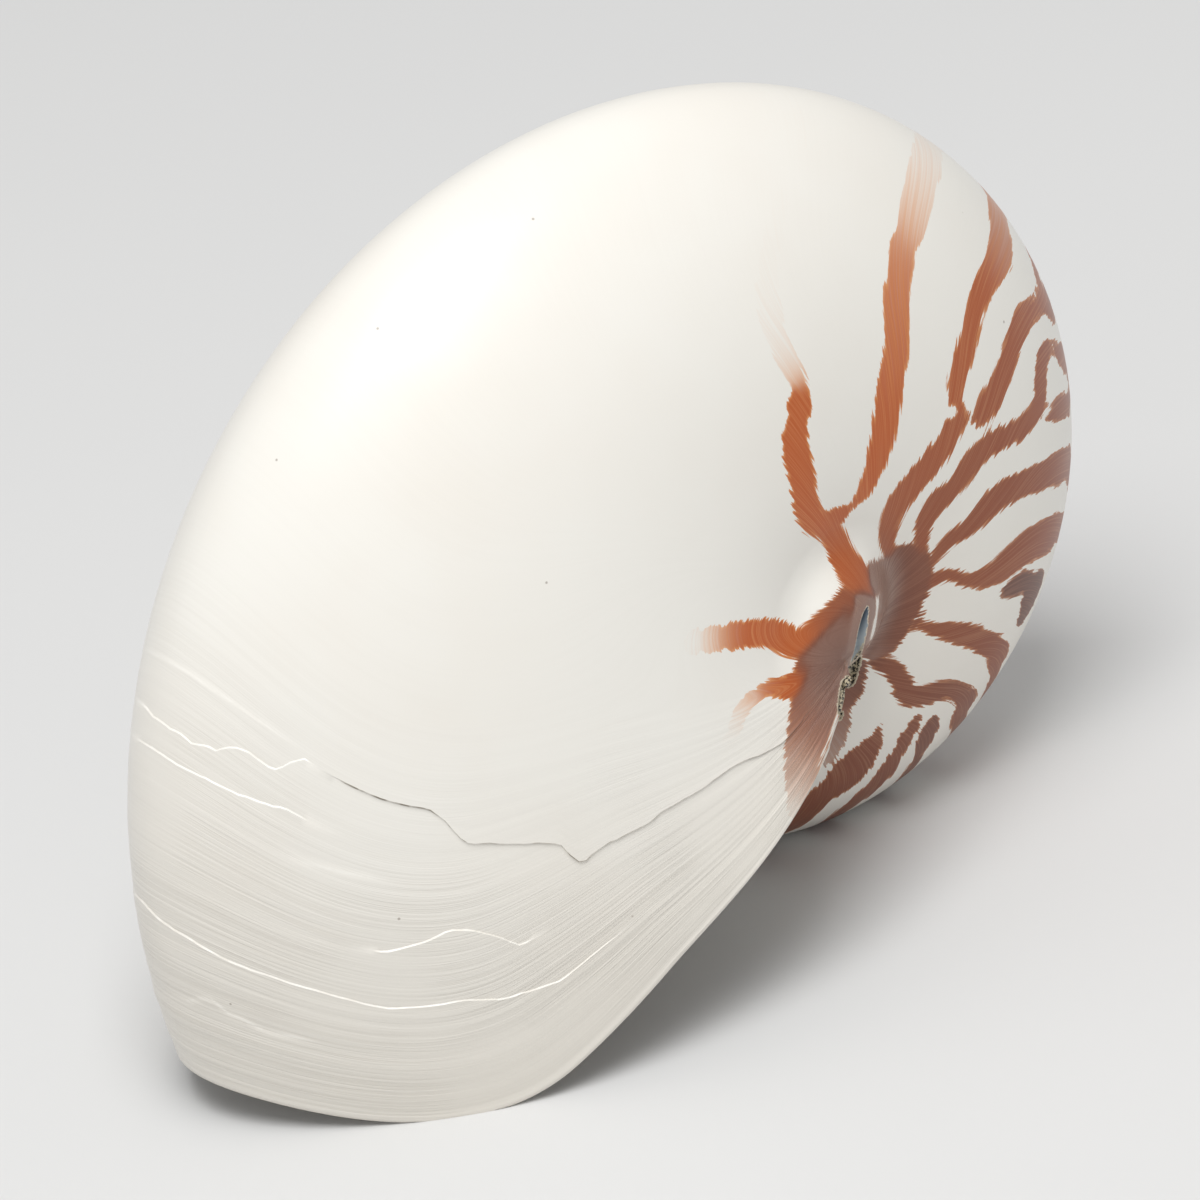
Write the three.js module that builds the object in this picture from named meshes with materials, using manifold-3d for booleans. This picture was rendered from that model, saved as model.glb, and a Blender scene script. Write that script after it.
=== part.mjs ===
// Chambered nautilus shell, resting on the rim of its opening and on its coil.
// Millimetres, +Z up. The spiral axis runs along Y, and the origin is under the middle of the shell.

import * as THREE from 'three';
import { LoftGeometry } from 'three/addons/geometries/LoftGeometry.js';
import { mergeVertices } from 'three/addons/utils/BufferGeometryUtils.js';
import Module from 'manifold-3d';

const wasm = await Module();
wasm.setup();

// Spiral
const LIP_RADIUS = 105; // from the spiral axis to the outer edge of the whorl, at bearing 0
const WHORL_EXPANSION = 3.05; // how many times the radius grows in one full turn
const LIP_BEARING = -146; // degrees from +X to where the lip crosses the flank, at rest
const AXIS_X = 20.5; // the spiral axis, sideways from the origin
const AXIS_HEIGHT = 41.3; // the spiral axis, above the surface that the shell rests on

// Cross-section of the whorl, as shares of the whorl's radius
const SHOULDER = 0.37; // how far out the whorl is widest
const HALF_WIDTH = 0.37; // from the middle plane to the widest place
const VENTER_TAPER = 0.17; // how much narrower than an ellipse the outer edge is
const UMBILICAL_DROP = 0.27; // how far the flank sinks towards the umbilicus
const UMBILICAL_CURVE = 2.1; // power of the curve by which it sinks
const UMBILICUS = 0.03; // radius of the pit on the axis

// Edge of the opening: degrees ahead of (+) or behind (-) bearing 0, by place across the flank
const UMBILICAL_REACH = 12; // the lip reaches forward at the umbilicus
const REACH_END = 0.4; // share of the flank where that reach has died away
const REACH_CURVE = 1.6;
const SINUS_DEPTH = 13.3; // the lip draws back over the outer edge, in a broad bay
const SINUS_START = 0.55; // share of the flank where the bay starts
const BEND_START = -90; // bearing from which the growth lines begin to take on the lip's outline

// Body chamber
const WALL = 1.8; // thickness of the shell round the chamber
const SEPTUM_BEARING = -150; // degrees from the lip back to the wall that closes the chamber
const SEPTUM_DOME = 15; // degrees that the middle of this wall bulges further back
const SIPHUNCLE_RADIUS = 1.2; // blind hole in the middle of the septum
const SIPHUNCLE_DEPTH = 6;
const SIPHUNCLE_PLACE = 0.62; // share of the whorl's radius

// Callus: the smooth boss that closes the umbilicus on each flank
const CALLUS_RADIUS = 7.5;
const CALLUS_HALF_LENGTH = 24; // from the middle plane to its outer end
const CALLUS_BLUNTNESS = 3; // 2 would make its outline an ellipse, and more makes its ends blunter

// Fineness of the facets
const UMBILICAL_STEPS = 5;
const FLANK_STEPS = 14;
const BEARING_STEP = 7.5; // degrees between two sections
const DOME_TILTS = [80, 60, 40, 20]; // degrees round the septum's dome, from its middle to its edge
const ROUND_SIDES = 24; // sides of the callus and the hole
const CALLUS_STEPS = 24; // facets from one end of the callus to the other
const COIL_START = -540; // bearing where the inner coil starts, hidden inside the shell
const COIL_END = -330; // bearing where the inner coil hands over to the outer whorl
const TENON_LENGTH = 4; // degrees by which each runs on inside the other, a little slimmer
const TENON_SHRINK = 0.9;

const RADIANS = Math.PI / 180;

// Radius of the whorl's outer edge: a logarithmic spiral.
function whorlRadius(bearing) {
  return LIP_RADIUS * WHORL_EXPANSION ** (bearing / 360);
}

// One flank of the cross-section, from the umbilicus to the outer edge, in shares of the radius.
function flankProfile() {
  const profile = [];
  for (let i = 0; i < UMBILICAL_STEPS; i++) {
    const out = THREE.MathUtils.lerp(UMBILICUS, SHOULDER, i / UMBILICAL_STEPS);
    const sink = UMBILICAL_DROP * ((SHOULDER - out) / SHOULDER) ** UMBILICAL_CURVE;
    profile.push(new THREE.Vector2(out, HALF_WIDTH * (1 - sink)));
  }
  for (let i = 0; i <= FLANK_STEPS; i++) {
    const turn = (i / FLANK_STEPS) * (Math.PI / 2);
    const out = SHOULDER + (1 - SHOULDER) * Math.sin(turn);
    const width = HALF_WIDTH * Math.cos(turn) * (1 - VENTER_TAPER * Math.sin(turn) ** 4);
    profile.push(new THREE.Vector2(out, width));
  }
  return profile;
}

// Share of the way across the flank at each profile point, measured along the surface.
function flankShares(profile) {
  const lengths = [0];
  for (let i = 1; i < profile.length; i++) {
    lengths.push(lengths[i - 1] + profile[i].distanceTo(profile[i - 1]));
  }
  const total = lengths[lengths.length - 1];
  return lengths.map((length) => length / total);
}

// Degrees by which the lip runs ahead at a place across the flank.
function lipAhead(share) {
  const reach = UMBILICAL_REACH * Math.max(0, 1 - share / REACH_END) ** REACH_CURVE;
  return reach - SINUS_DEPTH * THREE.MathUtils.smoothstep(share, SINUS_START, 1);
}

const PROFILE = flankProfile();
const SHARES = flankShares(PROFILE);

// The profile moved inwards by a distance, at a whorl radius, both in millimetres.
function insetFlank(radius, inset) {
  return PROFILE.map((point, i) => {
    const before = PROFILE[Math.max(0, i - 1)];
    const after = PROFILE[Math.min(PROFILE.length - 1, i + 1)];
    const along = after.clone().sub(before).normalize();
    if (i === PROFILE.length - 1) {
      along.set(0, -1);
    }
    const moved = new THREE.Vector2(point.x * radius + along.y * inset, point.y * radius - along.x * inset);
    moved.x = Math.max(moved.x, UMBILICUS * radius + inset);
    moved.y = Math.max(moved.y, 0);
    return moved;
  });
}

// A point of the shell from its bearing, its distance from the axis and its distance from the middle plane.
function place(bearing, out, across) {
  const angle = (LIP_BEARING + bearing) * RADIANS;
  return new THREE.Vector3(AXIS_X + out * Math.cos(angle), across, AXIS_HEIGHT + out * Math.sin(angle));
}

// A closed section. Near the lip it bends forwards and back to follow the lip's edge.
// `shrink` draws it together about its own middle, which shapes the domed septum.
function section(bearing, inset = 0, shrink = 1, back = 0) {
  const bend = THREE.MathUtils.smoothstep(bearing, BEND_START, 0);
  const ring = [];
  const addSide = (side, indices) => {
    for (const i of indices) {
      const turned = bearing - back + bend * lipAhead(SHARES[i]);
      const radius = whorlRadius(turned);
      const flank = insetFlank(radius, inset)[i];
      const out = THREE.MathUtils.lerp(SIPHUNCLE_PLACE * radius, flank.x, shrink);
      ring.push(place(turned, out, side * flank.y * shrink));
    }
  };
  const indices = PROFILE.map((_, i) => i);
  addSide(-1, indices);
  addSide(1, indices.slice(0, -1).reverse());
  return ring;
}

// Bearings of the sections from one bearing to another.
function bearings(start, end) {
  const count = Math.round((end - start) / BEARING_STEP);
  return Array.from({ length: count + 1 }, (_, i) => THREE.MathUtils.lerp(start, end, i / count));
}

// A geometry's closed surface, with its shared vertices joined, as a solid that can be cut.
function solid(geometry) {
  const bare = new THREE.BufferGeometry();
  bare.setAttribute('position', geometry.attributes.position);
  bare.setIndex(geometry.index);
  const merged = mergeVertices(bare);
  const mesh = new wasm.Mesh({
    numProp: 3,
    vertProperties: new Float32Array(merged.attributes.position.array),
    triVerts: new Uint32Array(merged.index.array)
  });
  return new wasm.Manifold(mesh);
}

function geometryOf(body) {
  const mesh = body.getMesh();
  const geometry = new THREE.BufferGeometry();
  geometry.setAttribute('position', new THREE.BufferAttribute(mesh.vertProperties, 3));
  geometry.setIndex(new THREE.BufferAttribute(mesh.triVerts, 1));
  geometry.computeVertexNormals();
  return geometry;
}

// A solid through a row of sections, closed at both ends.
function loft(sections) {
  return solid(new LoftGeometry(sections, { capStart: true, capEnd: true }));
}

// The inner coil, whose back is the floor of the body chamber.
function innerCoil() {
  const sections = bearings(COIL_START, COIL_END).map((bearing) => section(bearing));
  sections.push(section(COIL_END + TENON_LENGTH, 0, TENON_SHRINK));
  return loft(sections);
}

// The last whorl, up to the lip. One more section just inside the lip makes the rim a clean band.
function outerWhorl() {
  const sections = bearings(COIL_END, 0).map((bearing) => section(bearing));
  sections.unshift(section(COIL_END - TENON_LENGTH, 0, TENON_SHRINK));
  sections.push(section(0, 2 * WALL));
  return loft(sections);
}

// The space of the body chamber, from the domed septum out past the lip.
function bodyChamber() {
  const domed = DOME_TILTS.map((tilt) => {
    const shrink = Math.cos(tilt * RADIANS);
    return section(SEPTUM_BEARING, WALL, shrink, SEPTUM_DOME * Math.sin(tilt * RADIANS));
  });
  const walls = bearings(SEPTUM_BEARING, 0).map((bearing) => section(bearing, WALL));
  const beyond = section(BEARING_STEP, WALL);
  return loft([...domed, ...walls, beyond]);
}

// A blind hole in the middle of the septum, where the siphuncle passed through.
function siphuncleHole() {
  const bearing = SEPTUM_BEARING - SEPTUM_DOME;
  const length = 2 * SIPHUNCLE_DEPTH;
  const geometry = new THREE.CylinderGeometry(SIPHUNCLE_RADIUS, SIPHUNCLE_RADIUS, length, ROUND_SIDES);
  const middle = place(bearing, SIPHUNCLE_PLACE * whorlRadius(bearing), 0);
  geometry.rotateX(Math.PI / 2).rotateY(-(LIP_BEARING + bearing) * RADIANS);
  geometry.translate(middle.x, middle.y, middle.z);
  return solid(geometry);
}

// Fills the umbilicus on both flanks: a body of revolution about the spiral axis with blunt round ends.
function callus() {
  const profile = [];
  for (let i = 0; i <= CALLUS_STEPS; i++) {
    const turn = (i / CALLUS_STEPS - 0.5) * Math.PI;
    const reach = Math.sign(turn) * Math.abs(Math.sin(turn)) ** (2 / CALLUS_BLUNTNESS);
    const out = i % CALLUS_STEPS === 0 ? 0 : CALLUS_RADIUS * Math.cos(turn);
    profile.push(new THREE.Vector2(out, CALLUS_HALF_LENGTH * reach));
  }
  const geometry = new THREE.LatheGeometry(profile, ROUND_SIDES);
  geometry.translate(AXIS_X, 0, AXIS_HEIGHT);
  return solid(geometry);
}

// Everything below the resting surface, cut away to leave small worn flats where the shell touches it.
function below() {
  const size = 4 * LIP_RADIUS;
  const geometry = new THREE.BoxGeometry(size, size, size);
  geometry.translate(0, 0, -size / 2);
  return solid(geometry);
}

function nautilusShell() {
  const hollowed = outerWhorl().subtract(bodyChamber());
  const body = innerCoil().add(hollowed).add(callus()).subtract(siphuncleHole()).subtract(below());
  const material = new THREE.MeshStandardMaterial({ color: 0xf4efe4, roughness: 0.35, metalness: 0 });
  const mesh = new THREE.Mesh(geometryOf(body), material);
  mesh.name = 'nautilus_shell';
  return mesh;
}

const model = new THREE.Group();
model.add(nautilusShell());

export default model;
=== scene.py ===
# %% [markdown]
# # A chambered nautilus shell
# The shell is one piece that grew round and round in a flat spiral, each turn three times as wide as the
# last. This lesson rebuilds it from the same few numbers as the solid model, then gives it what a solid
# can't show: fine growth lines, cracks, brown stripes and the pearly inside.
# The frame comes first. It holds the packed solid, and everything else has to fit it.

# %% Load the frame
import math

import bmesh
import bpy
import numpy as np
from mathutils import Matrix, Vector
from mathutils.bvhtree import BVHTree


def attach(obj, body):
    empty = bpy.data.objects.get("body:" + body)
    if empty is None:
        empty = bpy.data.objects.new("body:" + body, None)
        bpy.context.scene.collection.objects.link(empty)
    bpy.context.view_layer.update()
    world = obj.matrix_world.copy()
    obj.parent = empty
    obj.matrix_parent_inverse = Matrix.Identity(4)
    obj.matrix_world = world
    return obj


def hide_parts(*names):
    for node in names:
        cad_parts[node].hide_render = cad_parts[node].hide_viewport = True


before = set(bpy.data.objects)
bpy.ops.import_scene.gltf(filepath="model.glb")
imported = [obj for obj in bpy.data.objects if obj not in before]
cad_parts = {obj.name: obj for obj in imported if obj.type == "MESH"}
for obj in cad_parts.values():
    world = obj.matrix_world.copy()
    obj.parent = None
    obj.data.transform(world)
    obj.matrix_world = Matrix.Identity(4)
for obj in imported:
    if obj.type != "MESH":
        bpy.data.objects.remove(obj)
bpy.context.view_layer.update()
CAD_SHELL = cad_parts["nautilus_shell"]

# %% [markdown]
# ## The camera
# The shell was seen from its left front, from well above the table and from far away, so its near flank and
# the back of its last turn both show. A long lens gives that flat look. The camera could be placed by eye,
# but stripes and cracks are going to be read off the picture, so it is placed by its measured bearing,
# height and roll. Its lens axis goes through the middle of the picture, so other views need no shift.

# %% Camera
CAMERA_BEARING = math.radians(-29.02)
CAMERA_HEIGHT_ANGLE = math.radians(28.51)
CAMERA_ROLL = math.radians(10.08)
CAMERA_DISTANCE = 1.3714
CAMERA_TARGET = Vector((0.0040, 0.0087, 0.0406))
LENS = 307.2
SENSOR = 36.0
PICTURE = 1200  # width and height of the photograph's frame, in pixels

camera_data = bpy.data.cameras.new("camera")
camera_data.lens = LENS
camera_data.sensor_width = SENSOR
camera = bpy.data.objects.new("camera", camera_data)
bpy.context.scene.collection.objects.link(camera)
toward = Vector((
    math.sin(CAMERA_BEARING) * math.cos(CAMERA_HEIGHT_ANGLE),
    -math.cos(CAMERA_BEARING) * math.cos(CAMERA_HEIGHT_ANGLE),
    math.sin(CAMERA_HEIGHT_ANGLE),
))
upright = (-toward).to_track_quat("-Z", "Y").to_matrix().to_4x4()
standpoint = Matrix.Translation(CAMERA_TARGET + toward * CAMERA_DISTANCE)
camera.matrix_world = standpoint @ upright @ Matrix.Rotation(-CAMERA_ROLL, 4, "Z")
bpy.context.scene.camera = camera
print("camera at", tuple(round(v, 3) for v in camera.matrix_world.translation))

# %% [markdown]
# ## The spiral
# A nautilus shell is a logarithmic spiral: turn it by any angle and it is the same shape at another size.
# So one formula for the radius and one outline for the cross-section describe the whole shell. The outline
# is widest at the shoulder, rounds off to the outer edge, and sinks towards the pit on the axis.
# A place on the shell is then two numbers, the bearing round the axis and the share of the way across the
# flank. The lip isn't straight: it runs ahead at the axis and draws back over the outer edge. Every growth
# line is an old lip, so bearing minus that outline counts growth, and the growth lines fall out of it.

# %% Spiral formulas
MM = 0.001
LIP_RADIUS = 105 * MM
WHORL_EXPANSION = 3.05
LIP_BEARING = -146
AXIS = Vector((20.5 * MM, 0, 41.3 * MM))
SHOULDER = 0.37
HALF_WIDTH = 0.37
VENTER_TAPER = 0.17
UMBILICAL_DROP = 0.27
UMBILICAL_CURVE = 2.1
UMBILICUS = 0.03
UMBILICAL_REACH = 12
REACH_END = 0.4
REACH_CURVE = 1.6
SINUS_DEPTH = 13.3
SINUS_START = 0.55


def smoothstep(value, start, end):
    """0 before start, 1 after end and a smooth ramp between."""
    t = np.clip((value - start) / (end - start), 0, 1)
    return t * t * (3 - 2 * t)


def whorl_radius(bearing):
    return LIP_RADIUS * WHORL_EXPANSION ** (bearing / 360)


def outline(steps):
    """The flank's outline from the pit to the outer edge, as shares of the whorl's radius, evenly spaced."""
    inner = np.linspace(UMBILICUS, SHOULDER, 400, endpoint=False)
    sink = UMBILICAL_DROP * ((SHOULDER - inner) / SHOULDER) ** UMBILICAL_CURVE
    turn = np.linspace(0, math.pi / 2, 1200)
    out = np.concatenate([inner, SHOULDER + (1 - SHOULDER) * np.sin(turn)])
    taper = 1 - VENTER_TAPER * np.sin(turn) ** 4
    width = HALF_WIDTH * np.concatenate([1 - sink, np.cos(turn) * taper])
    length = np.concatenate([[0], np.cumsum(np.hypot(np.diff(out), np.diff(width)))])
    share = np.linspace(0, 1, steps + 1)
    at = share * length[-1]
    return share, np.interp(at, length, out), np.interp(at, length, width)


FINE_SHARE, FINE_OUT, FINE_WIDTH = outline(2000)


def lip_ahead(share):
    """Degrees by which the lip, and each growth line, runs ahead at a place across the flank."""
    reach = UMBILICAL_REACH * np.clip(1 - share / REACH_END, 0, 1) ** REACH_CURVE
    return reach - SINUS_DEPTH * smoothstep(share, SINUS_START, 1)


def place(bearing, out, across):
    """Points in the frame, from the bearing, the distance from the axis and the distance from the middle."""
    angle = np.radians(LIP_BEARING + bearing)
    return np.stack([AXIS.x + out * np.cos(angle), across, AXIS.z + out * np.sin(angle)], -1)


def growth_of(points):
    """Growth (degrees before the lip) and signed share across the flank, for points on the outer surface."""
    x, y, z = points[:, 0] - AXIS.x, points[:, 1], points[:, 2] - AXIS.z
    distance = np.hypot(x, z)
    angle = np.degrees(np.arctan2(z, x)) - LIP_BEARING
    best = np.full(len(points), np.inf)
    growth, share = np.zeros(len(points)), np.zeros(len(points))
    for turns in (0, -1, -2):
        bearing = (angle % 360) + 360 * turns
        bearing = np.where(bearing > UMBILICAL_REACH, bearing - 360, bearing)
        radius = whorl_radius(bearing)
        gap = np.hypot(
            distance[:, None] / radius[:, None] - FINE_OUT[None, ::8],
            np.abs(y)[:, None] / radius[:, None] - FINE_WIDTH[None, ::8],
        )
        nearest = gap.argmin(1)
        miss = gap[np.arange(len(points)), nearest] * radius
        here = FINE_SHARE[::8][nearest]
        ahead = bearing - lip_ahead(here)
        better = (miss < best) & (ahead < 0.6)
        best = np.where(better, miss, best)
        growth = np.where(better, ahead, growth)
        share = np.where(better, here, share)
    return growth, share * np.sign(y)


print("radius at the lip and half a turn back, mm", LIP_RADIUS / MM, round(whorl_radius(-180) / MM, 1))

# %% [markdown]
# ## From the picture onto the shell
# A stripe or crack is a line in the picture, and a line on the shell. To carry one to the other, a ray runs
# from the camera through the pixel until it meets the solid shell. This way each marking sits on the shell
# itself and looks right from every side, where a picture thrown from the camera would smear.

# %% Rays through pixels
shell_tree = BVHTree.FromPolygons(
    [v.co for v in CAD_SHELL.data.vertices], [tuple(p.vertices) for p in CAD_SHELL.data.polygons]
)


def on_shell(pixels):
    """Points on the solid shell under pixels of the photograph's 1200 by 1200 frame."""
    origin = camera.matrix_world.translation
    turn = camera.matrix_world.to_3x3()
    focal = LENS / SENSOR * PICTURE
    hits = []
    for x, y in pixels:
        ray = turn @ Vector((x - PICTURE / 2, PICTURE / 2 - y, -focal)).normalized()
        hit = shell_tree.ray_cast(origin, ray)[0]
        if hit is not None:
            hits.append(hit)
    return np.array([tuple(h) for h in hits])


corner = on_shell([(862, 648)])
print("the pit is", np.round((corner[0] - np.array(AXIS)) / MM, 1), "mm from the axis point")

# %% [markdown]
# ## Cracks
# The last turn was broken and healed while the animal lived, and chipped after. Each crack is a low step
# where one growth of shell overlaps the next. They are read as lines of pixels and turned into growth
# against share, a curve across the flank, so that rows of the mesh can follow them and fall in a clean step.

# %% Crack lines
MAIN_CRACK = [
    (147, 707), (157, 717), (170, 730), (180, 734), (192, 744), (209, 749), (218, 753), (223, 749),
    (232, 749), (245, 752), (255, 759), (265, 767), (274, 771), (284, 768), (290, 764), (301, 761),
    (311, 760), (326, 762), (342, 766), (355, 774), (370, 786), (377, 792), (388, 795), (403, 799),
    (422, 807), (436, 815), (449, 824), (457, 834), (467, 843), (484, 844), (505, 844), (526, 845),
    (540, 844), (551, 843), (561, 843), (565, 848), (572, 857), (578, 861), (586, 860), (593, 853),
    (605, 845), (622, 838), (638, 830), (653, 821), (663, 812), (672, 807), (684, 800), (700, 790),
    (731, 768), (746, 760), (782, 743),
]
LOWER_CRACK = [
    (144, 903), (157, 918), (177, 933), (215, 956), (261, 975), (299, 987), (349, 1000), (391, 1008),
    (425, 1008), (467, 1002), (513, 996), (559, 983),
]
SECOND_CRACK = [(142, 742), (157, 753), (177, 763), (203, 776), (215, 784), (242, 797), (288, 810)]
UPPER_CRACK = [(154, 654), (200, 681), (234, 704), (265, 725)]
SHORT_CRACK = [(305, 864), (314, 866), (329, 869), (345, 874), (364, 878)]
RIM_CRACK = [(190, 1003), (200, 1000), (211, 1000), (226, 1014), (245, 1022), (268, 1033), (290, 1037)]
FLAKE = [(383, 954), (418, 945), (448, 931), (471, 931), (498, 937), (521, 947)]


def crack_curve(pixels):
    """A crack as growth against share, in order across the flank."""
    growth, share = growth_of(on_shell(pixels))
    order = np.argsort(-share)
    return -share[order], growth[order]


for name, pixels in (("main", MAIN_CRACK), ("lower", LOWER_CRACK), ("second", SECOND_CRACK),
                     ("upper", UPPER_CRACK), ("short", SHORT_CRACK), ("flake", FLAKE), ("rim", RIM_CRACK)):
    shares, growths = crack_curve(pixels)
    print(name, "share", np.round(shares, 2), "growth", np.round(growths, 1))

# %% [markdown]
# Read off the picture the points of a crack are a few millimetres apart, too straight between. A broken edge
# is ragged at every size, so a little seeded roughness is added, and the line is carried on to both ends of
# the section, where its step fades out. All the cracks together are kept in order of growth, so that none of
# them crosses its neighbour.

# %% Cracks as guides across the section
ACROSS_END = 2.1  # 0 is the near pit, 1 the outer edge, 2 the far pit, and the rest is the pit's own wall
PIT_WALL = ACROSS_END - 2
CRACK_GAP = 0.5  # degrees of growth that two guides keep apart
RAGGED_OCTAVES = 5
RAGGED_KNOTS = 24  # in the longest wave
RAGGED_FALL = 0.65  # how far each wave goes, as a share of the one before
dice = np.random.default_rng(7)


def ragged(across, size):
    """A seeded wavy line, made of waves that are each half as long as the one before and go less far."""
    line = np.zeros_like(across)
    for octave in range(RAGGED_OCTAVES):
        knots = RAGGED_KNOTS * 2 ** octave
        heights = dice.normal(0, size * RAGGED_FALL ** octave, knots)
        line += np.interp(across, np.linspace(0, ACROSS_END, knots), heights)
    return line


def crack_guide(pixels, across, roughness):
    """A crack's growth all across the section, and how far each place is from the part that was seen."""
    shares, growths = crack_curve(pixels)
    places = np.where(shares < 0, 2 + shares, shares)
    order = np.argsort(places)
    places, growths = places[order], growths[order]
    guide = np.interp(across, places, growths) + ragged(across, roughness)
    on_wall = across > 2
    guide[on_wall] = np.interp(across[on_wall], (2, ACROSS_END), (guide[~on_wall][-1], guide[0]))
    return guide, np.maximum(places[0] - across, across - places[-1]).clip(0)


print("guides keep", CRACK_GAP, "degrees apart")

# %% [markdown]
# ## One sock for the last turn
# The shell could be lofted section by section, or swept along a curve. But its rows have to follow the growth
# lines and the cracks, so a plain grid is drawn first and every vertex is then moved to its place by the
# spiral's formula. The rows run like a sock: up the outside to the lip, over its round edge, back along the
# pearly inside and over the septum, the wall that closes the body chamber, into the siphuncle's little hole.
# The grid's sides meet in the pit and its ends shrink to points, so sewn up it is one closed skin.

# %% Columns of the grid
UMBILICAL_COLUMNS = 16
UMBILICAL_SHARE = 0.12
NEAR_COLUMNS = 100  # the near flank's cracks are ragged, so it gets more
FAR_COLUMNS = 44
PIT_COLUMNS = 5


def half_section(columns):
    """Places from the pit to the outer edge, closer together at the pit."""
    beside_pit = np.linspace(0, UMBILICAL_SHARE, UMBILICAL_COLUMNS, endpoint=False)
    return np.concatenate([beside_pit, np.linspace(UMBILICAL_SHARE, 1, columns + 1)])


pit = np.linspace(2, ACROSS_END, PIT_COLUMNS + 1)[1:]
ACROSS = np.concatenate([half_section(NEAR_COLUMNS), 2 - half_section(FAR_COLUMNS)[-2::-1], pit])
SHARE = np.where(ACROSS > 1, 2 - ACROSS, ACROSS).clip(0, 1)
TANGENT_OUT = np.gradient(FINE_OUT, FINE_SHARE)
TANGENT_WIDTH = np.gradient(FINE_WIDTH, FINE_SHARE)
SIPHUNCLE_PLACE = 0.62
print(len(ACROSS) - 1, "columns")


def skin(turned, inset=0.0, shrink=1.0):
    """One row: each column at its bearing, moved inwards, or drawn together about the siphuncle."""
    radius = whorl_radius(turned)
    along_out = np.interp(SHARE, FINE_SHARE, TANGENT_OUT)
    along_width = np.interp(SHARE, FINE_SHARE, TANGENT_WIDTH)
    length = np.hypot(along_out, along_width)
    out = radius * np.interp(SHARE, FINE_SHARE, FINE_OUT) + along_width / length * inset
    width = radius * np.interp(SHARE, FINE_SHARE, FINE_WIDTH) - along_out / length * inset
    out = np.maximum(out, UMBILICUS * radius + inset)
    middle = SIPHUNCLE_PLACE * radius
    side = np.where(ACROSS > 2, 1 - 2 * (ACROSS - 2) / PIT_WALL, np.where(ACROSS > 1, 1, -1))
    return place(turned, middle + (out - middle) * shrink, side * width.clip(0) * shrink)


print("a row at the lip is", round(float(np.ptp(skin(np.zeros(len(ACROSS)))[:, 1])) / MM, 1), "mm wide")

# %% [markdown]
# The relief is what stands above or below the smooth spiral. A crack is a step: the older shell stands a
# little proud on one side and the healed growth starts a little lower on the other, and both fade away from
# the edge. Growth itself leaves low waves, stronger near the lip of a grown animal, whose shell it added
# slowly. Both are in the mesh itself, so they catch the light at the edge of the shell too.

# %% Relief on the outside
CHIPPED = (
    # pixels, roughness in degrees, height of the step in mm, fade of the step's ends in shares
    (UPPER_CRACK, 0.04, -0.08, 0.04),
    (MAIN_CRACK, 0.16, 0.26, 0.05),
    (SECOND_CRACK, 0.11, -0.16, 0.04),
    (SHORT_CRACK, 0.04, -0.06, 0.02),
    (FLAKE, 0.10, -0.22, 0.02),
    (LOWER_CRACK, 0.10, -0.18, 0.10),
    (RIM_CRACK, 0.08, -0.09, 0.02),
)
CRACKS_START = -46
CRACKS_END = -3
OLDER_FADE = 3.0  # degrees over which the step dies away on its older side
NEWER_FADE = 5.0
MAIN_FLIPS = (0.70, 0.80)  # share of the flank over which the main step turns over
MAIN_TURNS_BY = 1.7  # 1 would level the step, and more makes the newer shell stand proud
STEP_ROWS = 0.05  # degrees from a crack to the rows on either side of it
guides, steps = [], []
lowest = np.full(len(ACROSS), float(CRACKS_START))
for pixels, roughness, height, fade in CHIPPED:
    guide, beyond = crack_guide(pixels, ACROSS, roughness)
    lowest = np.maximum(guide, lowest + CRACK_GAP)
    guides.append(lowest)
    step = height * MM * np.exp(-((beyond / fade) ** 2))
    if pixels is MAIN_CRACK:  # further out the newer shell lies on top
        step *= 1 - MAIN_TURNS_BY * smoothstep(ACROSS, *MAIN_FLIPS)
    steps.append(step)
print("steps of", [round(float(np.abs(s).max() / MM), 2) for s in steps], "mm")

WAVE_KNOTS = 900
WAVES = ((0, 0.018), (0.8, 0.014), (-0.6, 0.014))  # swing in degrees and height in mm
PIT_FADE = 0.06  # share of the flank next to the pit that stays smooth
wave_growth = np.linspace(-600, 40, WAVE_KNOTS)
wave_heights = dice.normal(0, 1, (len(WAVES), WAVE_KNOTS))


def relief(growth):
    """Height of the outer surface above the smooth spiral, for a row of growths."""
    height = np.zeros(len(ACROSS))
    for guide, step in zip(guides, steps):
        past = growth - guide
        older = np.exp(np.minimum(past, 0) / OLDER_FADE)
        newer = -np.exp(-np.maximum(past, 0) / NEWER_FADE)
        height += step * np.where(past < 0, older, newer) / 2
    near_lip = 0.15 + 0.6 * smoothstep(growth, -60, -20) + 1.2 * smoothstep(growth, -20, -3)
    for heights, (swing, size) in zip(wave_heights, WAVES):
        swung = growth + swing * np.sin(3 * ACROSS)
        height += size * MM * near_lip * np.interp(swung, wave_growth, heights)
    return height * smoothstep(SHARE, 0, PIT_FADE)


print("relief one degree from the lip, mm", np.round(relief(np.full(len(ACROSS), -1.0))[::30] / MM, 3))

# %% [markdown]
# Each row is a list of growths, one for each column. Between two cracks the rows are spread evenly, and on
# each crack two rows lie almost together, one for either side of the step.

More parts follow.
